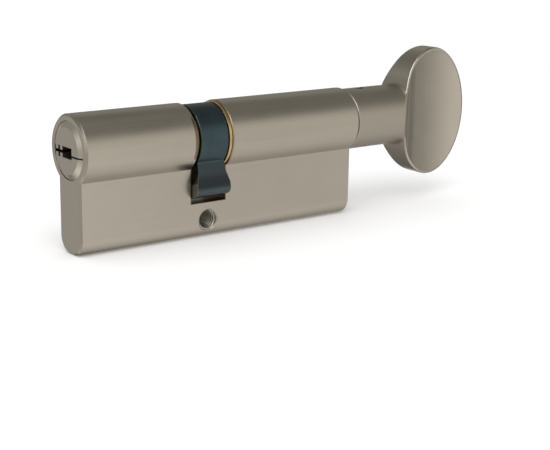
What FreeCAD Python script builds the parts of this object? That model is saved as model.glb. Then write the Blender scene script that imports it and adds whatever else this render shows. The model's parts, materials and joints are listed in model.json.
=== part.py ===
import FreeCAD, Part

import math
import os

import Sketcher
from FreeCAD import Placement, Rotation, Vector

# Euro profile cylinder with a key side and a knob side, in millimetres.
# +X runs along the cylinder's axis from the key side to the knob side, +Z is up and the leg hangs down.
# The origin is on the axis, above the fixing screw, which is the datum both side lengths are measured from.

DIMENSIONS = {
    # profile
    "key_side": 35.0,
    "knob_side": 45.0,
    "head_dia": 17.0,
    "leg_width": 10.0,
    "leg_drop": 24.5,
    "leg_corner": 4.0,
    "end_edge": 0.5,
    # bore, cam slot and fixing screw
    "bore_dia": 13.0,
    "slot_edge": 0.2,
    "slot_width": 10.0,
    "slot_drop": 15.5,
    "screw_drop": 20.0,
    "screw_core": 5.0,
    "screw_mouth": 5.6,
    # gaps, and how far a cut runs past what it cuts
    "run_gap": 0.05,
    "press_gap": 0.01,
    "past": 1.0,
    # plug
    "flange_dia": 13.7,
    "flange_depth": 2.0,
    "face_proud": 0.5,
    "face_bevel": 1.4,
    "bevel_depth": 0.7,
    "nose_end": 1.6,
    "groove_dia": 11.5,
    "groove_near": 4.05,
    "groove_far": 4.9,
    # keyway, measured across the axis
    "key_far": 5.8,
    "key_near": 2.5,
    "key_roof": 0.9,
    "key_floor": 1.7,
    "key_stop": 5.5,
    "rib_first": 1.9,
    "rib_second": 3.9,
    "rib_width": 1.1,
    "rib_height": 0.95,
    "slit_height": 0.4,
    "slit_drop": 0.75,
    "slit_depth": 0.9,
    # pin stacks
    "pin_first": 4.5,
    "pin_pitch": 4.0,
    "pin_dia": 2.9,
    "chamber_dia": 3.0,
    "pin_edge": 0.3,
    "key_pin_foot": 6.3,
    "driver_top": 6.5,
    "driver_length": 6.5,
    "ledge_drop": 2.6,
    "tip_dia": 1.9,
    "tip_hole": 2.1,
    "tip_length": 2.9,
    "tip_flat": 0.6,
    "lift_1": 0.6,
    "lift_2": 1.3,
    "lift_3": 0.9,
    "lift_4": 1.5,
    "lift_5": 0.7,
    "cap_dia": 3.2,
    "cap_length": 2.0,
    "cap_recess": 0.2,
    "cap_edge": 0.2,
    "cap_mouth": 0.12,
    "spring_dia": 2.2,
    "spring_wire": 0.36,
    "spring_turns": 9.0,
    "guard_dia": 1.3,
    "guard_first": 1.6,
    "guard_top": 9.5,
    "guard_recess": 0.2,
    "guard_edge": 0.2,
    # cam
    "cam_dia": 16.0,
    "cam_width": 7.7,
    "lever_width": 9.6,
    "lever_breadth": 9.0,
    "lever_reach": 15.0,
    "lever_edge": 2.0,
    "lever_lean": 15.0,
    "flare_start": 9.0,
    "flare_end": 12.0,
    "web_width": 3.0,
    "drive_breadth": 3.0,
    "drive_length": 12.0,
    "drive_gap": 0.1,
    # clutch
    "clutch_width": 2.2,
    "clutch_rest": 1.7,
    "stem_dia": 2.4,
    "stem_end": 6.5,
    "clutch_spring_dia": 1.6,
    "clutch_spring_wire": 0.3,
    "clutch_spring_turns": 6.0,
    "spring_pocket_dia": 2.2,
    "spring_pocket_end": 6.0,
    # clips
    "key_side_clip_dia": 14.6,
    "knob_side_clip_dia": 16.4,
    "clip_thick": 0.7,
    "clip_mouth": 7.0,
    # spindle and knob
    "tail_dia": 8.0,
    "tail_end": 58.0,
    "tail_flat": 3.4,
    "neck_dia": 16.0,
    "neck_gap": 0.3,
    "neck_edge": 0.4,
    "neck_bore_end": 58.5,
    "oval_length": 26.0,
    "oval_height": 35.2,
    "oval_middle": 75.9,
    "oval_depth": 16.0,
    "face_start": 68.6,
    "face_half": 3.7,
    "face_lean": 8.5,
    "face_radius": 130.0,
    "scoop_radius": 10.0,
    "crease_radius": 0.4,
    "rim_radius": 0.7,
    "neck_fillet": 1.0,
    "grub_place": 51.4,
    "grub_dia": 2.6,
    "grub_length": 3.0,
    "grub_foot_edge": 0.4,
    "grub_top_edge": 0.2,
    "grub_socket": 1.4,
    "grub_socket_depth": 1.2,
}
PIN_NUMBERS = (1, 2, 3, 4, 5)
SHEET = "Size"

document = FreeCAD.newDocument("euro_cylinder")
sheet = document.addObject("Spreadsheet::Sheet", SHEET)
for row, (name, size) in enumerate(DIMENSIONS.items(), start=1):
    sheet.set(f"A{row}", name)
    sheet.set(f"B{row}", str(size))
    sheet.setAlias(f"B{row}", name)
document.recompute()

finished = {}


def value(expression):
    """The number an expression over the sheet gives now."""
    result = sheet.evalExpression(expression.replace(SHEET + ".", ""))
    return float(getattr(result, "Value", result))


def size(alias):
    return f"{SHEET}.{alias}"


def bind(thing, **expressions):
    """Binds properties to expressions; a double underscore stands for a dot in the property's path."""
    for path, expression in expressions.items():
        thing.setExpression(path.replace("__", "."), expression)
    return thing


def finish(thing, node):
    """Names a finished piece after its node."""
    thing.Label = node
    finished[node] = thing
    return thing


# ---------------------------------------------------------------- sketches


def origin_plane(body, role):
    return next(f for f in body.Origin.OriginFeatures if f.Role == role)


def new_sketch(body, role, offset=None, turn=None, about=Vector(0, 0, 1)):
    """A sketch on one of the body's own origin planes, moved along the plane's normal.

    It may be turned about an axis of the plane's own frame, whose z is the normal.
    """
    sketch = body.newObject("Sketcher::SketchObject", body.Name + "_sketch")
    sketch.AttachmentSupport = [(origin_plane(body, role), "")]
    sketch.MapMode = "FlatFace"
    if turn:
        sketch.AttachmentOffset = Placement(Vector(), Rotation(about, value(turn)))
        bind(sketch, AttachmentOffset__Rotation__Angle=turn)
    if offset:
        bind(sketch, AttachmentOffset__Base__z=offset)
    return sketch


def pin_point(sketch, geometry, point, x, y):
    """Holds a point of a sketch at two expressions, measured from the sketch's origin."""
    for kind, axis, place in (("DistanceX", -2, x), ("DistanceY", -1, y)):
        if place == "0":
            sketch.addConstraint(Sketcher.Constraint("PointOnObject", geometry, point, axis))
            continue
        number = sketch.addConstraint(Sketcher.Constraint(kind, -1, 1, geometry, point, value(place)))
        sketch.setExpression(f"Constraints[{number}]", place)


def polygon(sketch, corners):
    """A closed outline of straight lines whose corners are pairs of expressions."""
    places = [Vector(value(x), value(y), 0) for x, y in corners]
    first = sketch.GeometryCount
    for place, following in zip(places, places[1:] + places[:1]):
        sketch.addGeometry(Part.LineSegment(place, following), False)
    for index, (x, y) in enumerate(corners):
        last = first + (index - 1) % len(corners)
        sketch.addConstraint(Sketcher.Constraint("Coincident", last, 2, first + index, 1))
        pin_point(sketch, first + index, 1, x, y)
    return sketch


def rectangle(sketch, left, right, low, high):
    return polygon(sketch, [(left, low), (right, low), (right, high), (left, high)])


def line(sketch, first, last):
    """A straight line of an outline; both ends are pairs of expressions."""
    places = [Vector(value(x), value(y), 0) for x, y in (first, last)]
    number = sketch.addGeometry(Part.LineSegment(*places), False)
    pin_point(sketch, number, 1, *first)
    pin_point(sketch, number, 2, *last)


def arc(sketch, centre, first, last):
    """An arc of an outline, anticlockwise from first to last; all three are pairs of expressions."""
    middle, start, end = (Vector(value(x), value(y), 0) for x, y in (centre, first, last))
    whole = Part.Circle(middle, Vector(0, 0, 1), (start - middle).Length)
    angles = [math.atan2(p.y - middle.y, p.x - middle.x) for p in (start, end)]
    number = sketch.addGeometry(Part.ArcOfCircle(whole, *angles), False)
    pin_point(sketch, number, 3, *centre)
    pin_point(sketch, number, 1, *first)


def circle(sketch, diameter, x="0", y="0"):
    number = sketch.addGeometry(
        Part.Circle(Vector(value(x), value(y), 0), Vector(0, 0, 1), value(diameter) / 2), False
    )
    pin_point(sketch, number, 3, x, y)
    held = sketch.addConstraint(Sketcher.Constraint("Diameter", number, value(diameter)))
    sketch.setExpression(f"Constraints[{held}]", diameter)
    return sketch


# ---------------------------------------------------------------- features


def new_body(node):
    return document.addObject("PartDesign::Body", node + "_body")


def volume(body):
    document.recompute()
    return body.Shape.Volume


def pad(body, sketch, length, midplane=False):
    feature = body.newObject("PartDesign::Pad", "Pad")
    feature.Profile = sketch
    feature.Midplane = midplane
    bind(feature, Length=length)
    document.recompute()
    return feature


def pocket(body, sketch, length, midplane=False, away=False):
    """Cuts along the sketch's normal, or against it when away is set, and checks that something was cut."""
    before = volume(body)
    feature = body.newObject("PartDesign::Pocket", "Pocket")
    feature.Profile = sketch
    feature.Midplane = midplane
    feature.Reversed = not away
    bind(feature, Length=length)
    if volume(body) >= before - 1e-6:
        raise RuntimeError(f"{feature.Name} in {body.Name} cut nothing")
    return feature


def revolve(body, sketch, axis):
    feature = body.newObject("PartDesign::Revolution", "Revolution")
    feature.Profile = sketch
    feature.ReferenceAxis = (sketch, [axis])
    feature.Angle = 360
    document.recompute()
    return feature


def turned_along_x(node, corners):
    """A piece turned about the X axis: the corners are (along, radius) pairs."""
    body = new_body(node)
    revolve(body, polygon(new_sketch(body, "XZ_Plane"), corners), "H_Axis")
    return body


def turned_along_z(node, corners):
    """A piece turned about the Z axis: the corners are (radius, height) pairs."""
    body = new_body(node)
    revolve(body, polygon(new_sketch(body, "XZ_Plane"), corners), "V_Axis")
    return body


def repeat_along_x(body, features, pitch, count):
    """A row of copies of the features, in +X; it must cut more than the first of them did."""
    before = volume(body)
    pattern = body.newObject("PartDesign::LinearPattern", "Row")
    pattern.Originals = features
    pattern.Direction = (features[0].Profile[0], ["H_Axis"])
    pattern.Occurrences = count
    bind(pattern, Length=f"{pitch} * {count - 1}")
    body.Tip = pattern
    if volume(body) >= before - 1e-6:
        raise RuntimeError(f"the row in {body.Name} cut nothing")


def edges_where(shape, test):
    return [f"Edge{i}" for i, edge in enumerate(shape.Edges, start=1) if test(edge)]


def dress(body, kind, amount, test):
    """A Fillet or Chamfer on the edges of the body's tip that pass the test."""
    document.recompute()
    base = body.Tip
    names = edges_where(base.Shape, test)
    feature = body.newObject("PartDesign::" + kind, kind)
    feature.Base = (base, names)
    bind(feature, **{"Radius" if kind == "Fillet" else "Size": amount})
    document.recompute()
    return feature


def lies_at(edge, axis, place):
    """True for an edge that lies in the plane where the coordinate axis has the value place."""
    return all(abs(getattr(p, axis) - place) < 1e-4 for p in edge.discretize(5))


# ---------------------------------------------------------------- the cylinder body


def chamber_place(number=1):
    """Where a pin stack stands along X."""
    return f"-{size('key_side')} + {size('pin_first')} + {size('pin_pitch')} * {number - 1}"


def cylinder_body():
    body = new_body("cylinder_body")
    whole = f"{size('key_side')} + {size('knob_side')}"
    start = f"-{size('key_side')}"
    pad(body, circle(new_sketch(body, "YZ_Plane", start), size("head_dia")), whole)
    half = f"{size('leg_width')} / 2"
    leg = rectangle(new_sketch(body, "YZ_Plane", start), "-" + half, half, f"-{size('leg_drop')}", "0")
    pad(body, leg, whole)

    bottom, side = -value(size("leg_drop")), value(half)
    dress(
        body,
        "Fillet",
        size("leg_corner"),
        lambda e: lies_at(e, "z", bottom) and (lies_at(e, "y", side) or lies_at(e, "y", -side)),
    )
    ends = (-value(size("key_side")), value(size("knob_side")))
    dress(body, "Chamfer", size("end_edge"), lambda e: any(lies_at(e, "x", end) for end in ends))

    pocket(body, circle(new_sketch(body, "YZ_Plane", start), size("bore_dia")), whole)
    flange = f"{size('flange_dia')} + 2 * {size('run_gap')}"
    pocket(body, circle(new_sketch(body, "YZ_Plane", start), flange), size("flange_depth"))

    slot_half = f"{size('slot_width')} / 2"
    slot = new_sketch(body, "XZ_Plane")
    rectangle(slot, "-" + slot_half, slot_half, f"-{size('slot_drop')}", size("head_dia"))
    pocket(body, slot, f"2 * {size('head_dia')}", midplane=True)

    screw = circle(new_sketch(body, "XZ_Plane"), size("screw_core"), "0", f"-{size('screw_drop')}")
    pocket(body, screw, f"2 * {size('leg_width')}", midplane=True)
    dress(
        body,
        "Chamfer",
        f"({size('screw_mouth')} - {size('screw_core')}) / 2",
        lambda e: is_circle(e, value(size("screw_core")) / 2)
        and (lies_at(e, "y", side) or lies_at(e, "y", -side)),
    )

    head = value(size("head_dia")) / 2
    walls = (value(slot_half), -value(slot_half))
    dress(
        body,
        "Chamfer",
        size("slot_edge"),
        lambda e: is_circle(e, head) and any(lies_at(e, "x", wall) for wall in walls),
    )

    cut_pin_chambers(body)
    guard = new_sketch(body, "XY_Plane", f"-{size('leg_drop')}")
    circle(guard, size("guard_dia"), f"-{size('key_side')} + {size('guard_first')}", "0")
    pocket(body, guard, f"{size('leg_drop')} - {size('guard_top')}")
    finish(body, "cylinder_body")


def is_circle(edge, radius):
    return isinstance(edge.Curve, Part.Circle) and abs(edge.Curve.Radius - radius) < 1e-4


def cut_pin_chambers(body):
    """Five chambers up through the leg into the bore, each with a wider seat for its cap at the bottom."""
    floor = f"-{size('leg_drop')}"
    chamber = circle(new_sketch(body, "XY_Plane", floor), size("chamber_dia"), chamber_place(), "0")
    first = pocket(body, chamber, size("leg_drop"))
    seat = circle(new_sketch(body, "XY_Plane", floor), size("cap_dia"), chamber_place(), "0")
    second = pocket(body, seat, f"{size('cap_length')} + {size('cap_recess')}")
    repeat_along_x(body, [first, second], size("pin_pitch"), len(PIN_NUMBERS))
    bottom, seat_radius = -value(size("leg_drop")), value(size("cap_dia")) / 2
    dress(
        body,
        "Chamfer",
        size("cap_mouth"),
        lambda e: is_circle(e, seat_radius) and lies_at(e, "z", bottom),
    )


# ---------------------------------------------------------------- the plug


def key_plug():
    radius = f"({size('bore_dia')} / 2 - {size('run_gap')})"
    face = f"-{size('key_side')} - {size('face_proud')}"
    shoulder = f"-{size('key_side')} + {size('flange_depth')} - {size('run_gap')}"
    flange = f"{size('flange_dia')} / 2"
    groove = f"{size('groove_dia')} / 2"
    body = turned_along_x(
        "key_plug",
        [
            (face, "0"),
            (face, f"{flange} - {size('face_bevel')}"),
            (f"{face} + {size('bevel_depth')}", flange),
            (shoulder, flange),
            (shoulder, radius),
            (f"-{size('groove_far')}", radius),
            (f"-{size('groove_far')}", groove),
            (f"-{size('groove_near')}", groove),
            (f"-{size('groove_near')}", radius),
            (f"-{size('nose_end')}", radius),
            (f"-{size('nose_end')}", "0"),
        ],
    )
    cut_keyway(body, face)
    cut_pin_holes(body)
    breadth = f"({size('drive_breadth')} + {size('drive_gap')}) / 2"
    slot = new_sketch(body, "YZ_Plane", f"-{size('nose_end')}")
    rectangle(slot, "-" + breadth, breadth, f"-{size('bore_dia')}", size("bore_dia"))
    pocket(body, slot, f"{size('clutch_width')} + 2 * {size('drive_gap')}", away=True)
    stem = circle(new_sketch(body, "YZ_Plane"), f"{size('stem_dia')} + {size('drive_gap')}")
    pocket(body, stem, f"{size('stem_end')} + 2 * {size('drive_gap')}", away=True)
    finish(body, "key_plug")


def cut_keyway(body, face):
    """The broached keyway: a flat slot across the axis, with two ribs in its roof and two in its floor."""
    low, high = f"-{size('key_floor')}", size("key_roof")
    deep, wide = size("rib_height"), size("rib_width")
    outline = [(f"-{size('key_near')}", low)]
    for rib in ("rib_first", "rib_second"):
        outline += rib_corners(size(rib), wide, low, f"{low} + {deep}")
    outline += [(size("key_far"), low), (size("key_far"), high)]
    for rib in ("rib_second", "rib_first"):
        outline += rib_corners(f"{size(rib)} + {wide}", f"-{wide}", high, f"{high} - {deep}")
    outline += [(f"-{size('key_near')}", high)]
    keyway = polygon(new_sketch(body, "YZ_Plane", face), outline)
    pocket(body, keyway, f"{size('key_side')} + {size('face_proud')} - {size('key_stop')}")

    slit = new_sketch(body, "YZ_Plane", face)
    rectangle(
        slit,
        f"-{size('flange_dia')}",
        f"-{size('key_near')}",
        f"-{size('slit_drop')} - {size('slit_height')}",
        f"-{size('slit_drop')}",
    )
    pocket(body, slit, f"{size('slit_depth')} + {size('bevel_depth')}")


def rib_corners(near, step, wall, top):
    """The four corners of a rib that stands on a wall, in the order the outline passes them."""
    return [(near, wall), (near, top), (f"{near} + {step}", top), (f"{near} + {step}", wall)]


def cut_pin_holes(body):
    """Stepped holes up from the plug's underside into the keyway; the step holds the key pin."""
    floor = f"-{size('bore_dia')} / 2"
    wide = circle(new_sketch(body, "XY_Plane", floor), size("chamber_dia"), chamber_place(), "0")
    first = pocket(body, wide, f"{size('bore_dia')} / 2 - {size('ledge_drop')}")
    narrow = circle(new_sketch(body, "XY_Plane", floor), size("tip_hole"), chamber_place(), "0")
    second = pocket(body, narrow, f"{size('bore_dia')} / 2 - {size('key_floor')} / 2")
    repeat_along_x(body, [first, second], size("pin_pitch"), len(PIN_NUMBERS))


# ---------------------------------------------------------------- the pin stacks


def key_pin(number):
    """A key pin, its foot at the shear line and its tip in the keyway; its length sets how far it rises."""
    radius, tip = f"{size('pin_dia')} / 2", f"{size('tip_dia')} / 2"
    foot = f"-{size('key_pin_foot')}"
    step = f"-{size('ledge_drop')} - {size('run_gap')} - {size(f'lift_{number}')}"
    top = f"{step} + {size('tip_length')}"
    body = turned_along_z(
        f"key_pin_{number}",
        [
            ("0", foot),
            (f"{radius} - {size('pin_edge')}", foot),
            (radius, f"{foot} + {size('pin_edge')}"),
            (radius, step),
            (tip, step),
            (tip, f"{top} - ({tip} - {size('tip_flat')} / 2)"),
            (f"{size('tip_flat')} / 2", top),
            ("0", top),
        ],
    )
    bind(body, Placement__Base__x=chamber_place(number))
    finish(body, f"key_pin_{number}")


def driver_pin(number):
    radius, top = f"{size('pin_dia')} / 2", f"-{size('driver_top')}"
    bottom = f"{top} - {size('driver_length')}"
    body = turned_along_z(
        f"driver_pin_{number}",
        [
            ("0", bottom),
            (f"{radius} - {size('pin_edge')}", bottom),
            (radius, f"{bottom} + {size('pin_edge')}"),
            (radius, f"{top} - {size('pin_edge')}"),
            (f"{radius} - {size('pin_edge')}", top),
            ("0", top),
        ],
    )
    bind(body, Placement__Base__x=chamber_place(number))
    finish(body, f"driver_pin_{number}")


def coil(node, mean_diameter, wire, turns, length):
    """A coil spring along its own Z axis, from 0 to length, made by sweeping a round wire along a helix."""
    helix = document.addObject("Part::Helix", node + "_helix")
    bind(
        helix,
        Radius=f"{mean_diameter} / 2",
        Height=f"{length} - {wire}",
        Pitch=f"({length} - {wire}) / {turns}",
        Placement__Base__z=f"{wire} / 2",
    )
    section = document.addObject("Part::Circle", node + "_section")
    section.Placement = Placement(Vector(), Rotation(Vector(1, 0, 0), 90))
    bind(
        section,
        Radius=f"{wire} / 2",
        Placement__Base__x=f"{mean_diameter} / 2",
        Placement__Base__z=f"{wire} / 2",
    )
    document.recompute()
    sweep = document.addObject("Part::Sweep", node + "_sweep")
    sweep.Sections = [section]
    sweep.Spine = (helix, edges_where(helix.Shape, lambda e: True))
    sweep.Solid = True
    sweep.Frenet = True
    return sweep


def pin_spring(number):
    cap_top = f"(-{size('leg_drop')} + {size('cap_recess')} + {size('cap_length')})"
    driver_foot = f"(-{size('driver_top')} - {size('driver_length')})"
    length = f"({driver_foot} - {cap_top} - {size('run_gap')})"
    spring = coil(
        f"pin_spring_{number}", size("spring_dia"), size("spring_wire"), size("spring_turns"), length
    )
    bind(
        spring,
        Placement__Base__x=chamber_place(number),
        Placement__Base__z=f"{cap_top} + {size('run_gap')} / 2",
    )
    finish(spring, f"pin_spring_{number}")


def spring_cap(number):
    """A turned brass cap pressed into the bottom of a chamber, with an eased outer edge."""
    radius = f"({size('cap_dia')} / 2 - {size('press_gap')})"
    bottom = f"-{size('leg_drop')} + {size('cap_recess')}"
    top = f"{bottom} + {size('cap_length')}"
    body = turned_along_z(
        f"spring_cap_{number}",
        [
            ("0", bottom),
            (f"{radius} - {size('cap_edge')}", bottom),
            (radius, f"{bottom} + {size('cap_edge')}"),
            (radius, top),
            ("0", top),
        ],
    )
    bind(body, Placement__Base__x=chamber_place(number))
    finish(body, f"spring_cap_{number}")


def guard_pin():
    """The hardened pin beside the key face that stops a drill reaching the pin stacks."""
    radius = f"({size('guard_dia')} / 2 - {size('press_gap')})"
    bottom = f"-{size('leg_drop')} + {size('guard_recess')}"
    top = f"-{size('guard_top')} - {size('run_gap')}"
    body = turned_along_z(
        "anti_drill_pin",
        [
            ("0", bottom),
            (f"{radius} - {size('guard_edge')}", bottom),
            (radius, f"{bottom} + {size('guard_edge')}"),
            (radius, top),
            ("0", top),
        ],
    )
    bind(body, Placement__Base__x=f"-{size('key_side')} + {size('guard_first')}")
    finish(body, "anti_drill_pin")


# ---------------------------------------------------------------- cam, clutch and clips


def cam():
    """A ring that turns on the two noses, with a lever that drives the lock and a slotted web inside."""
    body = new_body("cam")
    start = f"-{size('cam_width')} / 2"
    pad(body, circle(new_sketch(body, "YZ_Plane", start), size("cam_dia")), size("cam_width"))

    half = f"{size('lever_breadth')} / 2"
    flank = new_sketch(body, "YZ_Plane", f"-{size('lever_width')} / 2", turn=f"-{size('lever_lean')}")
    rectangle(flank, "-" + half, half, f"-{size('lever_reach')} - {size('past')}", f"-{size('cam_dia')} / 3")
    pad(body, flank, size("lever_width"))
    trim_lever(body)
    round_lever(body)

    web = f"{size('web_width')} / 2"
    bore = size("bore_dia")
    pocket(body, circle(new_sketch(body, "YZ_Plane", web), bore), size("cam_width"))
    pocket(body, circle(new_sketch(body, "YZ_Plane", "-" + web), bore), size("cam_width"), away=True)
    breadth = f"({size('drive_breadth')} + {size('drive_gap')}) / 2"
    length = f"({size('drive_length')} + {size('drive_gap')}) / 2"
    slot = rectangle(new_sketch(body, "YZ_Plane"), "-" + breadth, breadth, "-" + length, length)
    pocket(body, slot, size("cam_width"), midplane=True)
    finish(body, "cam")


def trim_lever(body):
    """Ends the lever in an arc about the axis, and narrows it where it leaves the ring."""
    turn = f"-{size('lever_lean')}"
    ring = new_sketch(body, "YZ_Plane", f"-{size('lever_width')}", turn=turn)
    circle(ring, f"2 * {size('lever_reach')}")
    circle(ring, f"4 * {size('lever_reach')}")
    pocket(body, ring, f"2 * {size('lever_width')}")
    inner, outer = f"{size('cam_width')} / 2", f"{size('lever_width')} / 2"
    for side in ("", "-"):
        flare = new_sketch(body, "XZ_Plane", turn=turn, about=Vector(1, 0, 0))
        polygon(
            flare,
            [
                (f"{side}({inner})", "0"),
                (f"{side}({outer} + {size('past')})", "0"),
                (f"{side}({outer} + {size('past')})", f"-{size('flare_end')}"),
                (f"{side}({outer})", f"-{size('flare_end')}"),
                (f"{side}({inner})", f"-{size('flare_start')}"),
            ],
        )
        pocket(body, flare, f"2 * {size('lever_reach')}", midplane=True)


def round_lever(body):
    """Eases the two long corners of the lever's tip."""
    reach = value(size("lever_reach"))

    def tip_corner(edge):
        along = abs(edge.tangentAt(edge.FirstParameter).x) > 0.999
        middle = edge.discretize(3)[1]
        return along and abs(math.hypot(middle.y, middle.z) - reach) < 1e-3

    dress(body, "Fillet", size("lever_edge"), tip_corner)


def clutch():
    """The bar that joins the plug to the cam's web when the key's tip pushes its stem."""
    body = new_body("clutch")
    half = f"{size('drive_breadth')} / 2"
    length = f"{size('drive_length')} / 2"
    rear = f"-{size('clutch_rest')} - {size('clutch_width')}"
    bar = rectangle(new_sketch(body, "YZ_Plane", rear), "-" + half, half, "-" + length, length)
    pad(body, bar, size("clutch_width"))
    stem = circle(new_sketch(body, "YZ_Plane", f"-{size('stem_end')}"), size("stem_dia"))
    pad(body, stem, f"{size('stem_end')} - {size('clutch_rest')} - {size('clutch_width')} / 2")
    finish(body, "clutch")


def clutch_spring():
    length = f"({size('spring_pocket_end')} + {size('clutch_rest')} - 2 * {size('run_gap')})"
    spring = coil(
        "clutch_spring",
        size("clutch_spring_dia"),
        size("clutch_spring_wire"),
        size("clutch_spring_turns"),
        length,
    )
    spring.Placement = Placement(Vector(), Rotation(Vector(0, 1, 0), 90))
    bind(spring, Placement__Base__x=f"-{size('clutch_rest')} + {size('run_gap')}")
    finish(spring, "clutch_spring")


def retaining_clip(node, side):
    """A sprung C clip in a groove beside the cam ring, on the key side (-1) or the knob side (1)."""
    body = new_body(node)
    outer = size(f"{node}_dia")
    middle = f"{side} * ({size('groove_near')} + {size('groove_far')}) / 2"
    start = f"{middle} - {size('clip_thick')} / 2"
    ring = new_sketch(body, "YZ_Plane", start)
    circle(ring, outer)
    circle(ring, f"{size('groove_dia')} + 2 * {size('run_gap')}")
    pad(body, ring, size("clip_thick"))
    half = f"{size('clip_mouth')} / 2"
    mouth = rectangle(new_sketch(body, "YZ_Plane"), "0", outer, "-" + half, half)
    pocket(body, mouth, f"2 * {size('slot_width')}", midplane=True)
    finish(body, node)


# ---------------------------------------------------------------- spindle, knob and grub screw


def knob_spindle():
    radius = f"({size('bore_dia')} / 2 - {size('run_gap')})"
    groove = f"{size('groove_dia')} / 2"
    tail = f"{size('tail_dia')} / 2"
    end = f"{size('knob_side')} - {size('run_gap')}"
    body = turned_along_x(
        "knob_spindle",
        [
            (size("nose_end"), "0"),
            (size("nose_end"), radius),
            (size("groove_near"), radius),
            (size("groove_near"), groove),
            (size("groove_far"), groove),
            (size("groove_far"), radius),
            (end, radius),
            (end, tail),
            (size("tail_end"), tail),
            (size("tail_end"), "0"),
        ],
    )
    half, length = f"{size('drive_breadth')} / 2", f"{size('drive_length')} / 2"
    tongue = rectangle(
        new_sketch(body, "YZ_Plane", size("drive_gap")), "-" + half, half, "-" + length, length
    )
    pad(body, tongue, size("nose_end"))
    hole = circle(new_sketch(body, "YZ_Plane"), size("spring_pocket_dia"))
    pocket(body, hole, size("spring_pocket_end"))
    flat = new_sketch(body, "XZ_Plane")
    rectangle(
        flat,
        f"{size('grub_place')} - {size('grub_dia')}",
        f"{size('grub_place')} + {size('grub_dia')}",
        size("tail_flat"),
        size("tail_dia"),
    )
    pocket(body, flat, size("neck_dia"), midplane=True)
    finish(body, "knob_spindle")


def scoop():
    """The hollow over one face of the knob: across Z its outline is an arc off the neck, then a wide arc."""
    lean = f"{size('face_lean')} * 1deg"
    join = (size("face_start"), size("face_half"))
    root, wide = size("scoop_radius"), size("face_radius")
    root_centre = (f"({join[0]} + {root} * sin({lean}))", f"({join[1]} + {root} * cos({lean}))")
    wide_centre = (f"({join[0]} + {wide} * sin({lean}))", f"({join[1]} + {wide} * cos({lean}))")
    side = (f"{root_centre[0]} - {root}", root_centre[1])
    end_x = f"({size('oval_middle')} + {size('oval_length')} / 2 + {size('past')})"
    end_y = f"{wide_centre[1]} - sqrt({wide} ^ 2 - ({end_x} - {wide_centre[0]}) ^ 2)"

    sketch = document.addObject("Sketcher::SketchObject", "scoop_outline")
    arc(sketch, root_centre, side, join)
    arc(sketch, wide_centre, join, (end_x, end_y))
    line(sketch, (end_x, end_y), (end_x, root_centre[1]))
    line(sketch, (end_x, root_centre[1]), side)

    block = document.addObject("Part::Extrusion", "scoop")
    block.Base = sketch
    block.DirMode = "Normal"
    block.Symmetric = True
    block.Solid = True
    bind(block, LengthFwd=f"2 * {size('oval_height')}")
    return block


def knob():
    """The oval thumb turn: a round neck that runs into an oval plate, hollowed on both faces."""
    oval = document.addObject("Part::Ellipse", "oval")
    oval.Placement = Placement(Vector(), Rotation(Vector(1, 0, 0), 90) * Rotation(Vector(0, 0, 1), 90))
    bind(
        oval,
        MajorRadius=f"{size('oval_height')} / 2",
        MinorRadius=f"{size('oval_length')} / 2",
        Placement__Base__x=size("oval_middle"),
    )
    plate = document.addObject("Part::Extrusion", "plate")
    plate.Base = oval
    plate.DirMode = "Custom"
    plate.Dir = Vector(0, 1, 0)
    plate.Symmetric = True
    plate.Solid = True
    bind(plate, LengthFwd=size("oval_depth"))
    neck = document.addObject("Part::Cylinder", "neck")
    neck.Placement = Placement(Vector(), Rotation(Vector(0, 1, 0), 90))
    bind(
        neck,
        Radius=f"{size('neck_dia')} / 2",
        Height=f"{size('oval_middle')} - {size('knob_side')} - {size('neck_gap')}",
        Placement__Base__x=f"{size('knob_side')} + {size('neck_gap')}",
    )
    blank = document.addObject("Part::Fuse", "blank")
    blank.Base, blank.Tool = plate, neck
    front = document.addObject("Part::Mirroring", "front_scoop")
    front.Source = scoop()
    front.Normal = Vector(0, 1, 0)
    hollows = document.addObject("Part::Fuse", "hollows")
    hollows.Base, hollows.Tool = front.Source, front
    shaped = document.addObject("Part::Cut", "shaped")
    shaped.Base, shaped.Tool = blank, hollows
    document.recompute()
    eased = document.addObject("Part::Fillet", "eased")
    eased.Base = shaped
    eased.Edges = knob_edges(shaped.Shape)
    document.recompute()
    drilled = document.addObject("Part::Cut", "drilled")
    drilled.Base, drilled.Tool = eased, neck_holes()
    finish(drilled, "knob")


def knob_edges(shape):
    """The edges to round, each with its first and last radius. The rim's radius grows away from the neck."""
    crease, rim, root = (value(size(name)) for name in ("crease_radius", "rim_radius", "neck_fillet"))
    neck_radius, middle = value(size("neck_dia")) / 2, value(size("oval_middle"))
    start = value(f"{size('knob_side')} + {size('neck_gap')}")
    nearest = middle - value(size("oval_length")) / 2

    def rim_radius(vertex):
        share = (vertex.X - nearest) / (middle - nearest)
        return crease + (rim - crease) * min(1.0, max(0.0, share))

    chosen = []
    for number, edge in enumerate(shape.Edges, start=1):
        if isinstance(edge.Curve, Part.Line):
            continue
        points = edge.discretize(7)
        if all(abs(p.x - start) < 1e-3 for p in points):
            chosen.append((number, value(size("neck_edge")), value(size("neck_edge"))))
        elif all(abs(math.hypot(p.y, p.z) - neck_radius) < 1e-3 for p in points):
            chosen.append((number, root, root))
        else:
            chosen.append((number, rim_radius(edge.Vertexes[0]), rim_radius(edge.Vertexes[-1])))
    return chosen


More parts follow.
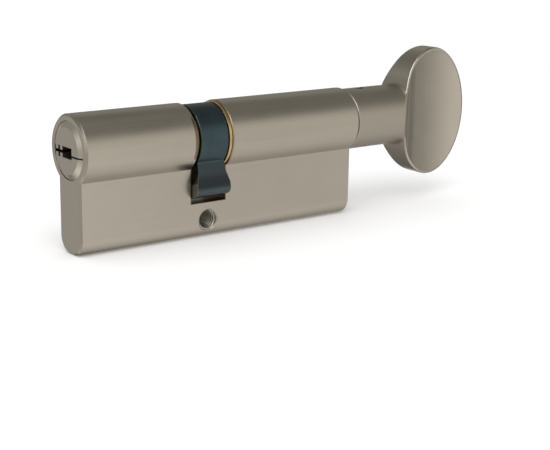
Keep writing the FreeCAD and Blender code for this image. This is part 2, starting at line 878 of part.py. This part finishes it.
def neck_holes():
    """The blind hole that takes the spindle's tail, and the cross hole for the grub screw."""
    bore = document.addObject("Part::Cylinder", "neck_bore")
    bore.Placement = Placement(Vector(), Rotation(Vector(0, 1, 0), 90))
    bind(
        bore,
        Radius=f"{size('tail_dia')} / 2 + {size('press_gap')}",
        Height=f"{size('neck_bore_end')} - {size('knob_side')} + {size('past')}",
        Placement__Base__x=f"{size('knob_side')} - {size('past')}",
    )
    cross = document.addObject("Part::Cylinder", "grub_hole")
    bind(
        cross,
        Radius=f"{size('grub_dia')} / 2 + {size('press_gap')}",
        Height=size("neck_dia"),
        Placement__Base__x=size("grub_place"),
    )
    holes = document.addObject("Part::Fuse", "neck_holes")
    holes.Base, holes.Tool = bore, cross
    return holes


def grub_screw():
    """A socket set screw standing in the neck, with its foot on the spindle's flat."""
    radius = f"{size('grub_dia')} / 2"
    foot = f"{size('tail_flat')} + {size('press_gap')}"
    top = f"{foot} + {size('grub_length')}"
    low, high = size("grub_foot_edge"), size("grub_top_edge")
    body = turned_along_z(
        "grub_screw",
        [
            ("0", foot),
            (f"{radius} - {low}", foot),
            (radius, f"{foot} + {low}"),
            (radius, f"{top} - {high}"),
            (f"{radius} - {high}", top),
            ("0", top),
        ],
    )
    corner = f"{size('grub_socket')} / sqrt(3)"
    half = f"{size('grub_socket')} / 2"
    socket = new_sketch(body, "XY_Plane", top)
    polygon(
        socket,
        [
            (corner, "0"),
            (f"{corner} / 2", half),
            (f"-{corner} / 2", half),
            (f"-{corner}", "0"),
            (f"-{corner} / 2", "-" + half),
            (f"{corner} / 2", "-" + half),
        ],
    )
    pocket(body, socket, size("grub_socket_depth"), away=True)
    bind(body, Placement__Base__x=size("grub_place"))
    finish(body, "grub_screw")


# ---------------------------------------------------------------- build, check and write

cylinder_body()
key_plug()
for pin_number in PIN_NUMBERS:
    key_pin(pin_number)
    driver_pin(pin_number)
    pin_spring(pin_number)
    spring_cap(pin_number)
guard_pin()
cam()
clutch()
clutch_spring()
retaining_clip("key_side_clip", -1)
retaining_clip("knob_side_clip", 1)
knob_spindle()
knob()
grub_screw()
document.recompute()

failed = [o.Label for o in document.Objects if "Invalid" in o.State or "Error" in o.State]
if failed:
    raise RuntimeError(f"these objects failed to build: {failed}")
for node, piece in finished.items():
    if piece.Shape.isNull() or not piece.Shape.isValid() or not piece.Shape.Solids:
        raise RuntimeError(f"{node} has no valid solid")

os.makedirs("parts", exist_ok=True)
for node, piece in finished.items():
    piece.Shape.exportStep(f"parts/{node}.step")
    print(f"{node:18s} {len(piece.Shape.Solids)} solid, {piece.Shape.Volume:9.2f} mm3")
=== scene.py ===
import json
import math

import bpy
from mathutils import Matrix, Vector


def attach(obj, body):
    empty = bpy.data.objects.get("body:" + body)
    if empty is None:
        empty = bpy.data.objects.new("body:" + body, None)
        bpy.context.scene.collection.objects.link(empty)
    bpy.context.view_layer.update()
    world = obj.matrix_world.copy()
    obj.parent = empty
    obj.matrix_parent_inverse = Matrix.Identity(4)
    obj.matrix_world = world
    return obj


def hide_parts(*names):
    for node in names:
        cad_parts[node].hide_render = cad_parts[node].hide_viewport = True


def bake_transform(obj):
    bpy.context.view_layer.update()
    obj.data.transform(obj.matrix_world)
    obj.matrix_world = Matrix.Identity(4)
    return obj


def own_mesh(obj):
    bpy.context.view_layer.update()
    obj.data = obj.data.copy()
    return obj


# The looks of a euro profile cylinder with a key side and a knob side. +X runs along the cylinder from the
# key side to the knob side, and +Z is up. The origin is on the plug's axis, straight above the fixing screw.

MM = 0.001

# The cylinder's own sizes in millimetres, as the CAD has them. A drop is measured down from the plug's axis.
SLOT_HALF = 5.0
SLOT_DROP = 15.5
SCREW_DROP = 20.0
LEG_DROP = 24.5
PLUG_RADIUS = 6.5
PLUG_FACE = -35.5
PLUG_FACE_RADIUS = 5.45
CAP_RADIUS = 1.6
CAP_TOP = -22.3
PINS_START = -30.5
PIN_PITCH = 4.0
PIN_COUNT = 5

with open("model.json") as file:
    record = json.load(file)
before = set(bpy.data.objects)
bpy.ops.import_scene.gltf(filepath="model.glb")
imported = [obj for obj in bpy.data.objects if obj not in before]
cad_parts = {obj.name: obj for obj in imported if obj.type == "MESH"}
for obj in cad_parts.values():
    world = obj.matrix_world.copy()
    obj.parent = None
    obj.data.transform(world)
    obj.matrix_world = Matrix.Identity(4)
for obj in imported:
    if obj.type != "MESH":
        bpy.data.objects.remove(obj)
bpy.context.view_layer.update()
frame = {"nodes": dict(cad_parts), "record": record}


# ---------------------------------------------------------------- shader nodes


class Shader:
    """The nodes of one material or world, written as short calls that each return an output socket."""

    def __init__(self, owner):
        owner.use_nodes = True
        self.tree = owner.node_tree
        self.tree.nodes.clear()

    def feed(self, socket, value):
        if isinstance(value, bpy.types.NodeSocket):
            self.tree.links.new(value, socket)
        elif socket.type == "RGBA":
            socket.default_value = (*value, 1.0)
        else:
            socket.default_value = value

    def node(self, kind, inputs=None, **settings):
        """A node with some settings, and its inputs given by name or by place."""
        made = self.tree.nodes.new("ShaderNode" + kind)
        for name, setting in settings.items():
            setattr(made, name, setting)
        for key, value in (inputs or {}).items():
            self.feed(made.inputs[key], value)
        return made

    def math(self, operation, *values):
        made = self.node("Math", dict(enumerate(values)), operation=operation)
        return made.outputs[0]

    def vector(self, operation, first, second, scalar=False):
        made = self.node("VectorMath", {0: first, 1: second}, operation=operation)
        return made.outputs["Value" if scalar else "Vector"]

    def length(self, vector):
        return self.vector("LENGTH", vector, (0.0, 0.0, 0.0), scalar=True)

    def reach(self, first, second):
        """How far a point is from an axis, from its two offsets across the axis."""
        return self.length(self.join(first, second, 0.0))

    def scaled(self, colour, level):
        """A colour made lighter or darker by a level."""
        return self.vector("MULTIPLY", colour, self.join(level, level, level))

    def split(self, vector):
        return self.node("SeparateXYZ", {0: vector}).outputs

    def join(self, x, y, z):
        return self.node("CombineXYZ", {0: x, 1: y, 2: z}).outputs[0]

    def rise(self, value, low, high):
        """0 below low, 1 above high, smooth between. A low above high gives a fall."""
        inputs = {"Value": value, "From Min": low, "From Max": high}
        made = self.node("MapRange", inputs, interpolation_type="SMOOTHSTEP")
        return made.outputs["Result"]

    def mix(self, share, first, second):
        made = self.node("Mix", {0: share, 6: first, 7: second}, data_type="RGBA")
        return made.outputs[2]

    def noise(self, vector, scale, detail=2.0, roughness=0.5):
        inputs = {"Vector": vector, "Scale": scale, "Detail": detail, "Roughness": roughness}
        return self.node("TexNoise", inputs).outputs["Fac"]

    def place(self):
        """Where a point is in the row frame at rest, in millimetres."""
        coordinates = self.node("TexCoord").outputs["Object"]
        return self.vector("MULTIPLY", coordinates, (1 / MM, 1 / MM, 1 / MM))

    def output(self, surface, kind="OutputMaterial"):
        self.tree.links.new(surface, self.node(kind).inputs["Surface"])


def grey(level):
    return (level, level, level)


# ---------------------------------------------------------------- finishes


class Finish:
    """A metal's look: a faintly mottled colour, a fine grain, and edges that are eased and rubbed bright.

    Grain is the height of the surface's noise and ease the radius of the edges, both in millimetres. Mottle,
    rub and the hollows' shade go from 0 to 1: how patchy the colour is, how bright the edges, and how dark
    the painted shade in hollows.
    """

    def __init__(
        self, name, colour, roughness,
        grain=0.0, grain_size=14.0, mottle=0.06, ease=0.12, rub=0.25, hollow_shade=0.75,
    ):
        self.material = bpy.data.materials.new(name)
        self.shader = Shader(self.material)
        self.place = self.shader.place()
        self.ease = ease
        self.rub = rub
        self.hollow_shade = hollow_shade
        shader = self.shader
        patches = shader.noise(self.place, 0.16, 4.0, 0.6)
        specks = shader.noise(self.place, 2.6, 3.0, 0.6)
        patch_shade = shader.math("MULTIPLY_ADD", patches, mottle, 1.0 - mottle / 2)
        speck_shade = shader.math("MULTIPLY_ADD", specks, mottle / 2, 1.0 - mottle / 4)
        self.colour = shader.scaled(colour, shader.math("MULTIPLY", patch_shade, speck_shade))
        patchiness = 0.08
        self.rough = shader.math("MULTIPLY_ADD", patches, patchiness, roughness - patchiness / 2)
        self.height = shader.math("MULTIPLY", shader.noise(self.place, grain_size, 2.0, 0.6), grain)

    def paint(self, mask, colour, roughness):
        """Changes colour and roughness where the mask is 1."""
        self.colour = self.shader.mix(mask, self.colour, colour)
        self.rough = self.shader.node("Mix", {0: mask, 2: self.rough, 3: roughness}).outputs[0]

    def brush(self, strength):
        """Faint streaks along X, from polishing the body lengthwise."""
        shader = self.shader
        stretched = shader.vector("MULTIPLY", self.place, (0.035, 2.4, 2.4))
        streaks = shader.math("SUBTRACT", shader.noise(stretched, 1.0, 3.0, 0.65), 0.5)
        self.colour = shader.scaled(self.colour, shader.math("MULTIPLY_ADD", streaks, strength, 1.0))
        self.rough = shader.math("MULTIPLY_ADD", streaks, strength / 2, self.rough)

    def raise_by(self, height):
        """Adds to the surface's height, in millimetres."""
        self.height = self.shader.math("ADD", self.height, height)

    def done(self):
        """Puts the finish together and gives its material."""
        shader = self.shader
        eased = shader.node("Bevel", {"Radius": self.ease * MM}, samples=6).outputs["Normal"]
        flat = shader.node("NewGeometry").outputs["Normal"]
        bend = shader.rise(shader.vector("DOT_PRODUCT", eased, flat, scalar=True), 0.995, 0.88)
        rubbed = shader.math("MULTIPLY", bend, self.rub)
        colour = shader.mix(rubbed, self.colour, RUBBED_METAL)
        # Painted shade: the colour is darkened in hollows, by ambient occlusion within 4 mm on the same part.
        hollows = shader.node("AmbientOcclusion", {"Distance": 4 * MM}, samples=6, only_local=True)
        openness = shader.rise(hollows.outputs["AO"], 0.05, 0.75)
        colour = shader.scaled(colour, shader.math("MULTIPLY_ADD", openness, self.hollow_shade, 1 - self.hollow_shade))
        rough = shader.math("SUBTRACT", self.rough, shader.math("MULTIPLY", rubbed, 0.3))
        bump_inputs = {"Strength": 1.0, "Distance": MM, "Height": self.height, "Normal": eased}
        normal = shader.node("Bump", bump_inputs).outputs["Normal"]
        surface = {
            "Base Color": colour,
            "Roughness": shader.math("MAXIMUM", rough, 0.05),
            "Metallic": 1.0,
            "Normal": normal,
        }
        shader.output(shader.node("BsdfPrincipled", surface).outputs[0])
        return self.material


NICKEL = (0.60, 0.56, 0.50)
KNOB_NICKEL = (0.62, 0.58, 0.515)
NECK_NICKEL = (0.54, 0.495, 0.44)
PLUG_NICKEL = (0.60, 0.565, 0.51)
POLISHED_NICKEL = (0.82, 0.775, 0.70)
THIN_NICKEL = (0.50, 0.42, 0.30)
BRASS = (0.70, 0.53, 0.27)
SHADED_CUT_BRASS = (0.36, 0.28, 0.16)
SHADED_EDGE_BRASS = (0.27, 0.205, 0.14)
CAP_BRASS = (0.86, 0.62, 0.30)
CAP_RIM_SHADOW = (0.16, 0.10, 0.05)
CLIP_BRONZE = (0.82, 0.60, 0.30)
STEEL = (0.52, 0.51, 0.50)
SPRING_STEEL = (0.62, 0.61, 0.60)
HARDENED_STEEL = (0.36, 0.35, 0.34)
BLACK_OXIDE = (0.035, 0.034, 0.032)
BLUED_STEEL = (0.078, 0.118, 0.142)
SHADED_BLUED_NECK = (0.075, 0.095, 0.108)
SHADED_BLUED_WAIST = (0.050, 0.060, 0.070)
LIT_BLUED_TIP = (0.105, 0.142, 0.158)
WORN_BLUING = (0.30, 0.30, 0.28)
RUBBED_METAL = grey(0.86)


def rings(shader, first, second, width):
    """Turning marks round an axis, from -1 to 1 and a little uneven, and the radius that they follow."""
    radius = shader.reach(first, second)
    drift = shader.noise(shader.join(radius, 0.0, 0.0), 3.0, 2.0)
    phase = shader.math("MULTIPLY", shader.math("ADD", radius, drift), 2 * math.pi / width)
    return shader.math("SINE", phase), radius


def from_chamber(shader, x):
    """How far along X a point is from the middle of the nearest pin chamber."""
    from_first = shader.math("SUBTRACT", x, PINS_START)
    return shader.math("WRAP", from_first, PIN_PITCH / 2, -PIN_PITCH / 2)


def body_nickel():
    """Satin nickel over brass, which shows where the slot and the bores were cut after plating. The cut brass
    is painted in shade, and lit beside the clips.
    """
    finish = Finish("satin nickel body", NICKEL, 0.30, grain=0.004, rub=0.12)
    finish.brush(0.10)
    shader = finish.shader
    x, y, z = shader.split(finish.place)
    from_middle = shader.math("ABSOLUTE", x)

    # The plate is thin on the slot's edges.
    at_edge = shader.rise(from_middle, SLOT_HALF + 0.3, SLOT_HALF + 0.2)
    at_edge = shader.math("MULTIPLY", at_edge, shader.rise(z, -SLOT_DROP - 0.2, -SLOT_DROP - 0.1))
    finish.paint(at_edge, THIN_NICKEL, 0.25)

    # Bare brass is painted in a band at the end of the key side's head, beside the cam's ring, darkened as
    # painted shade and kept to part of the head's height.
    in_band = shader.rise(x, -SLOT_HALF - 0.95, -SLOT_HALF - 0.8)
    in_band = shader.math("MULTIPLY", in_band, shader.rise(x, -SLOT_HALF + 0.1, -SLOT_HALF))
    beside_ring = shader.math("MULTIPLY", shader.rise(z, 6.8, 5.0), shader.rise(z, -4.3, -3.6))
    finish.paint(shader.math("MULTIPLY", in_band, beside_ring), SHADED_EDGE_BRASS, 0.3)

    # The slot, the bore and the mouths of the cap seats are cut brass, painted dark as the shade inside them.
    in_slot = shader.rise(from_middle, SLOT_HALF + 0.1, SLOT_HALF + 0.04)
    above_floor = shader.rise(z, -SLOT_DROP - 0.1, -SLOT_DROP - 0.06)
    in_bore = shader.rise(shader.reach(y, z), PLUG_RADIUS + 0.08, PLUG_RADIUS + 0.04)
    from_hole = shader.reach(from_chamber(shader, x), y)
    in_mouth = shader.rise(from_hole, CAP_RADIUS + 0.16, CAP_RADIUS + 0.12)
    in_mouth = shader.math("MULTIPLY", in_mouth, shader.rise(z, CAP_TOP - 0.7, CAP_TOP - 0.9))
    row_start = PINS_START - PIN_PITCH / 2
    row_end = row_start + PIN_PITCH * PIN_COUNT
    in_row = shader.rise(x, row_start - 0.1, row_start)
    in_row = shader.math("MULTIPLY", in_row, shader.rise(x, row_end, row_end - 0.1))
    brass = shader.math("MULTIPLY", in_slot, above_floor)
    brass = shader.math("MAXIMUM", brass, in_bore)
    brass = shader.math("MAXIMUM", brass, shader.math("MULTIPLY", in_mouth, in_row))
    finish.paint(brass, SHADED_CUT_BRASS, 0.34)

    # The slot's walls beside the clips are painted as bright as the clips: painted light, where the slot
    # below is painted in shade.
    lit_slot_walls = shader.math("MULTIPLY", in_slot, shader.rise(z, -9.0, -8.0))
    finish.paint(lit_slot_walls, CLIP_BRONZE, 0.25)
    return finish.done()


def plug_nickel():
    """The plug: a face with faint turning marks, and a bevel that is close to polished."""
    finish = Finish("bright nickel plug", PLUG_NICKEL, 0.30, grain=0.003, ease=0.08, hollow_shade=0.35)
    shader = finish.shader
    x, y, z = shader.split(finish.place)
    wave, radius = rings(shader, y, z, 0.16)
    on_face = shader.rise(x, PLUG_FACE + 0.2, PLUG_FACE + 0.15)
    finish.raise_by(shader.math("MULTIPLY", shader.math("MULTIPLY", wave, 0.0012), on_face))
    on_bevel = shader.rise(radius, PLUG_FACE_RADIUS - 0.03, PLUG_FACE_RADIUS + 0.05)
    on_bevel = shader.math("MULTIPLY", on_bevel, shader.rise(x, PLUG_FACE + 1.12, PLUG_FACE + 1.05))
    finish.paint(on_bevel, POLISHED_NICKEL, 0.16)
    return finish.done()


def knob_nickel():
    """A smooth satin knob, with the round neck left duller than the oval that the fingers polish."""
    finish = Finish("satin nickel knob", KNOB_NICKEL, 0.25, grain=0.002, ease=0.15, rub=0.1)
    x = finish.shader.split(finish.place)[0]
    on_neck = finish.shader.rise(x, 66.5, 63.5)
    finish.paint(on_neck, NECK_NICKEL, 0.36)
    return finish.done()


def cam_steel():
    """Blued sintered steel: mottled blue black, with painted light and shade in bands down the lever, and the
    bluing worn from the lever's two sides.
    """
    finish = Finish(
        "blued steel", BLUED_STEEL, 0.34, grain=0.02, grain_size=5.0, mottle=0.5, ease=0.25, rub=0.12
    )
    shader = finish.shader
    x, _, z = shader.split(finish.place)
    # The lever is painted in bands down its height: painted shade on the neck, deeper painted shade on the
    # waist, and a painted reflection of the floor on the tip.
    for start, end, colour, roughness in (
        (-5.2, -6.0, SHADED_BLUED_NECK, 0.36),
        (-7.6, -9.6, SHADED_BLUED_WAIST, 0.36),
        (-10.9, -12.3, LIT_BLUED_TIP, 0.34),
    ):
        finish.paint(shader.rise(z, start, end), colour, roughness)
    specks = shader.noise(finish.place, 7.0, 3.0, 0.7)
    on_sides = shader.rise(shader.math("ABSOLUTE", x), 4.62, 4.74)
    worn = shader.math("MULTIPLY", on_sides, shader.rise(specks, 0.35, 0.62))
    finish.paint(worn, WORN_BLUING, 0.42)
    return finish.done()


def cap_metal():
    """Turned brass with rings round each cap's own middle."""
    finish = Finish("turned brass caps", CAP_BRASS, 0.24, grain=0.002, ease=0.08)
    shader = finish.shader
    x, y, _ = shader.split(finish.place)
    wave, radius = rings(shader, from_chamber(shader, x), y, 0.21)
    finish.raise_by(shader.math("MULTIPLY", wave, 0.004))
    pip = shader.rise(radius, 0.34, 0.2)
    finish.raise_by(shader.math("MULTIPLY", pip, -0.05))
    finish.paint(shader.rise(radius, CAP_RADIUS - 0.1, CAP_RADIUS - 0.04), CAP_RIM_SHADOW, 0.5)
    return finish.done()


def turned(name, colour, roughness, width, depth):
    """A turned metal with marks round the X axis."""
    finish = Finish(name, colour, roughness, grain=0.002)
    shader = finish.shader
    x = shader.split(finish.place)[0]
    wave = shader.math("SINE", shader.math("MULTIPLY", x, 2 * math.pi / width))
    finish.raise_by(shader.math("MULTIPLY", wave, depth))
    return finish.done()


def finishes():
    """The material of each slot that the record names."""
    return {
        "nickel_body": body_nickel(),
        "nickel_plug": plug_nickel(),
        "nickel_knob": knob_nickel(),
        "bare_brass": turned("bare brass", BRASS, 0.26, 0.2, 0.0015),
        "cap_brass": cap_metal(),
        "spring_wire": Finish("spring steel wire", SPRING_STEEL, 0.2, mottle=0.1).done(),
        "blued_steel": cam_steel(),
        "hardened_steel": Finish("hardened steel", HARDENED_STEEL, 0.22, mottle=0.15).done(),
        "clip_bronze": Finish("clip bronze", CLIP_BRONZE, 0.22, grain=0.003, mottle=0.2).done(),
        "screw_steel": Finish("black oxide", BLACK_OXIDE, 0.38, grain=0.008, mottle=0.3, rub=0.1).done(),
        "clutch_steel": turned("clutch steel", STEEL, 0.3, 0.3, 0.001),
    }


# ---------------------------------------------------------------- meshes


def mesh_object(name, points, faces):
    """A smooth shaded mesh with its points in millimetres in the row frame."""
    mesh = bpy.data.meshes.new(name)
    mesh.from_pydata([tuple(c * MM for c in p) for p in points], [], faces)
    mesh.polygons.foreach_set("use_smooth", [True] * len(mesh.polygons))
    mesh.update()
    made = bpy.data.objects.new(name, mesh)
    bpy.context.scene.collection.objects.link(made)
    return made


def tube(name, rings_of_points):
    """A closed tube through rings that all have the same number of points."""
    count = len(rings_of_points[0])
    points = [p for ring in rings_of_points for p in ring]
    faces = [tuple(reversed(range(count)))]
    for station in range(len(rings_of_points) - 1):
        start = station * count
        above = start + count
        for corner in range(count):
            following = (corner + 1) % count
            faces.append((start + corner, start + following, above + following, above + corner))
    last = len(points) - count
    faces.append(tuple(range(last, last + count)))
    return mesh_object(name, points, faces)


def spring_heights(turns, length, wire, steps):
    """How high a spring's wire centre is at each step. The turn at each end is flatter than the others."""
    flat_pitch = wire * 1.03
    open_pitch = (length - wire - 2 * flat_pitch) / (turns - 2)
    heights, height = [], wire / 2
    for step in range(int(turns * steps) + 1):
        heights.append(height)
        turn = (step + 0.5) / steps
        from_end = min(1.0, turn, turns - turn)
        blend = max(0.0, (from_end - 0.8) / 0.4)
        blend = blend * blend * (3 - 2 * blend)
        height += (flat_pitch + (open_pitch - flat_pitch) * blend) / steps
    stretch = (length - wire) / (heights[-1] - heights[0])
    return [wire / 2 + (h - heights[0]) * stretch for h in heights]


def spring(name, mean_radius, wire, turns, length, at, along):
    """A coil spring with flattened ends. It starts at a point and runs along a unit vector."""
    steps, sides = 28, 10
    axis = Vector(along)
    side = axis.orthogonal().normalized()
    other = axis.cross(side)
    sections = []
    for step, height in enumerate(spring_heights(turns, length, wire, steps)):
        angle = 2 * math.pi * step / steps
        outward = side * math.cos(angle) + other * math.sin(angle)
        centre = Vector(at) + axis * height + outward * mean_radius
        section = []
        for corner in range(sides):
            turn = 2 * math.pi * corner / sides
            section.append(centre + (outward * math.cos(turn) + axis * math.sin(turn)) * wire / 2)
        sections.append(section)
    return tube(name, sections)


def screw_thread():
    """The thread of the fixing screw's hole: a ridge that winds along Y and fades out at both ends."""
    major, minor, pitch, start, end = 2.52, 2.1, 0.8, -4.72, 4.72
    root_half, crest_half, fade_turns = 0.37, 0.06, 0.6
    steps = 48
    count = int((end - start) / pitch * steps)
    sections = []
    for step in range(count + 1):
        angle = 2 * math.pi * step / steps
        middle = start + pitch * step / steps
        turns_from_end = min(step, count - step) / steps
        crest = major - (major - minor) * min(1.0, turns_from_end / fade_turns)
        section = []
        for radius, offset in (
            (major, -root_half), (crest, -crest_half), (crest, crest_half), (major, root_half)
        ):
            along = max(start, min(end, middle + offset))
            section.append((radius * math.cos(angle), along, -SCREW_DROP + radius * math.sin(angle)))
        sections.append(section)
    return tube("screw_thread", sections)


# ---------------------------------------------------------------- the object

MATERIALS = finishes()


def dress(piece, slot_name):
    """Gives a piece the finish of one of the record's slots."""
    piece.data.materials.clear()
    piece.data.materials.append(MATERIALS[slot_name])
    return piece


def dress_nodes():
    for part in frame["record"]["subparts"]:
        dress(frame["nodes"][part["node"]], part["material_slot"])


def pin_springs():
    """Each spring stands on its cap, and its top end meets its driver pin at rest."""
    low, high, radius, wire, turns = CAP_TOP + 0.025, -13.025, 1.1, 0.36, 9.0
    for number in range(1, PIN_COUNT + 1):
        x = PINS_START + PIN_PITCH * (number - 1)
        name = f"wound_pin_spring_{number}"
        piece = spring(name, radius, wire, turns, high - low, (x, 0, low), (0, 0, 1))
        dress(piece, "spring_wire")
        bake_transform(piece)
        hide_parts(f"pin_spring_{number}")


def clutch_spring():
    """It stands in the spindle's pocket and is carried by the turn knob."""
    start, end, travel, radius, wire, turns = -1.65, 5.95, 1.3, 0.8, 0.3, 6.0
    piece = spring("wound_clutch_spring", radius, wire, turns, end - start, (start, 0, 0), (1, 0, 0))
    dress(piece, "spring_wire")
    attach(piece, "turn_knob")
    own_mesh(piece)
    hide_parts("clutch_spring")


dress_nodes()
pin_springs()
clutch_spring()
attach(dress(screw_thread(), "nickel_body"), "housing")


# ---------------------------------------------------------------- stage, light and camera

# How bright the room looks to metal, as pairs of degrees and brightness. SKY goes by height above the
# horizon. HORIZON and LOW_FLOOR go by direction round the object, counted from +X towards +Y.
SKY = (
    (-90, 0.6), (0, 0.62), (12, 0.63), (25, 0.54), (38, 0.23), (46, 0.165), (58, 0.165), (70, 0.3),
    (90, 0.36),
)
HORIZON = (
    (-180, 0.36), (-100, 0.5), (-64, 0.85), (-55, 0.43), (-49, 0.36), (-43, 1.3), (-38, 0.42), (-31, 0.22),
    (-5, 0.2), (20, 0.85), (45, 1.0), (70, 0.5), (100, 0.4), (130, 0.46), (160, 0.4), (180, 0.36),
)
LOW_FLOOR = (
    (-180, 0.45), (-100, 0.6), (-62, 0.85), (-49, 0.6), (-36, 0.6), (15, 0.38), (60, 0.14), (110, 0.2),
    (150, 0.66), (180, 0.5),
)
FAR_SKY = grey(0.25)
FLOOR_TINT = (1.0, 0.96, 0.89)
SKY_TINT = (1.0, 0.975, 0.865)
WHITE = grey(1.0)


def room():
    """White, except to metal, which sees a bright horizon, a dark band high up and an uneven floor."""
    world = bpy.data.worlds.new("room")
    bpy.context.scene.world = world
    world.cycles.sampling_method = "NONE"
    shader = Shader(world)
    x, y, z = shader.split(shader.node("TexCoord").outputs["Generated"])
    height = shader.math("DEGREES", shader.math("ARCSINE", z))
    around = shader.math("DEGREES", shader.math("ARCTAN2", y, x))

    sky = curve(shader, height, 90, SKY)
    horizon = curve(shader, around, 180, HORIZON)
    low_floor = curve(shader, around, 180, LOW_FLOOR)
    floor = shader.mix(shader.rise(height, -36, -18), low_floor, horizon)
    far_side = shader.math("MULTIPLY", shader.rise(around, 0, 45), shader.rise(around, 172, 138))
    dimmed = shader.math("MULTIPLY", far_side, shader.rise(height, 36, 22))
    sky = shader.mix(dimmed, sky, FAR_SKY)
    seen = shader.mix(shader.rise(height, -5, 9), floor, sky)
    tint = shader.mix(shader.rise(height, -20, 25), FLOOR_TINT, SKY_TINT)
    seen = shader.vector("MULTIPLY", seen, tint)
    rays = shader.node("LightPath").outputs
    colour = shader.mix(rays["Is Glossy Ray"], WHITE, seen)
    colour = shader.mix(rays["Is Camera Ray"], colour, grey(1.02))
    shader.output(shader.node("Background", {"Color": colour}).outputs[0], "OutputWorld")


def curve(shader, value, span, stops):
    """A smooth curve through (degrees, brightness) pairs, from -span to span."""
    share = shader.math("MULTIPLY_ADD", value, 0.5 / span, 0.5)
    made = shader.node("ValToRGB", {"Fac": share})
    made.color_ramp.interpolation = "EASE"
    elements = made.color_ramp.elements
    while len(elements) < len(stops):
        elements.new(0.5)
    for element, (degrees, level) in zip(elements, stops):
        element.position = degrees * 0.5 / span + 0.5
        element.color = (*grey(level), 1.0)
    return made.outputs["Color"]


def backdrop():
    """A pale floor that curves up behind the object. It is clear from below, so the underside can be seen."""
    near, far, radius, top, half_width, steps = -900, 700, 400, 900, 1600, 16
    profile = [(near, 0.0), (far, 0.0)]
    for step in range(1, steps + 1):
        angle = math.pi / 2 * step / steps
        profile.append((far + radius * math.sin(angle), radius * (1 - math.cos(angle))))
    profile.append((far + radius, top))
    facing_camera = Matrix.Rotation(math.radians(-37.2), 3, "Z")
    points, faces = [], []
    for along, up in profile:
        for side in (-half_width, half_width):
            place = facing_camera @ Vector((side, along, 0))
            points.append((place.x, place.y, up - LEG_DROP))
    for step in range(len(profile) - 1):
        start = 2 * step
        faces.append((start, start + 1, start + 3, start + 2))
    floor = mesh_object("backdrop", points, faces)
    floor.visible_glossy = False
    floor.data.materials.append(pale_paper())


def pale_paper():
    """White paper that takes the object's shadow. Further out it glows, so that it looks pure white."""
    material = bpy.data.materials.new("pale paper")
    shader = Shader(material)
    place = shader.place()
    level = shader.math("MULTIPLY_ADD", shader.noise(place, 0.02, 3.0), 0.02, 0.90)
    paper = shader.node("BsdfDiffuse", {"Color": shader.join(level, level, level)}).outputs[0]
    glow = shader.node("Emission", {"Color": WHITE}).outputs[0]
    away = shader.rise(shader.length(place), 150, 420)
    paper = shader.node("MixShader", {0: away, 1: paper, 2: glow}).outputs[0]
    clear = shader.node("BsdfTransparent").outputs[0]
    behind = shader.node("NewGeometry").outputs["Backfacing"]
    shader.output(shader.node("MixShader", {0: behind, 1: paper, 2: clear}).outputs[0])
    return material


def softbox():
    """A square softbox above and in front of the key side. Sizes here are in metres."""
    at, target = Vector((-0.35, -0.45, 0.75)), Vector((0.02, 0, 0))
    light = bpy.data.lights.new("key softbox", "AREA")
    light.shape = "SQUARE"
    light.size = 0.8
    light.energy = 3.4
    lamp = bpy.data.objects.new("key softbox", light)
    bpy.context.scene.collection.objects.link(lamp)
    lamp.location = at
    lamp.rotation_mode = "QUATERNION"
    lamp.rotation_quaternion = (target - at).to_track_quat("-Z", "Y")


def camera():
    """The camera looks from the key side, a little above the cylinder."""
    azimuth, elevation, roll = math.radians(-37.18), math.radians(14.41), math.radians(0.88)
    distance, lens = 326.6, 82.28
    target = Vector((24.26, 0, -25.84))
    forward = Vector((-math.sin(azimuth), math.cos(azimuth), 0)) * math.cos(elevation)
    forward.z = -math.sin(elevation)
    right = Vector((math.cos(azimuth), math.sin(azimuth), 0))
    up = right.cross(forward)
    tilted_right = right * math.cos(roll) + up * math.sin(roll)
    tilted_up = up * math.cos(roll) - right * math.sin(roll)
    data = bpy.data.cameras.new("camera")
    data.lens = lens
    data.sensor_width = 36.0
    data.clip_start, data.clip_end = 0.01, 20.0
    shown = bpy.data.objects.new("camera", data)
    bpy.context.scene.collection.objects.link(shown)
    axes = Matrix((tilted_right, tilted_up, -forward)).transposed().to_4x4()
    shown.matrix_world = Matrix.Translation((target - forward * distance) * MM) @ axes
    bpy.context.scene.camera = shown


room()
backdrop()
softbox()
camera()
bpy.context.scene.view_settings.view_transform = "Standard"
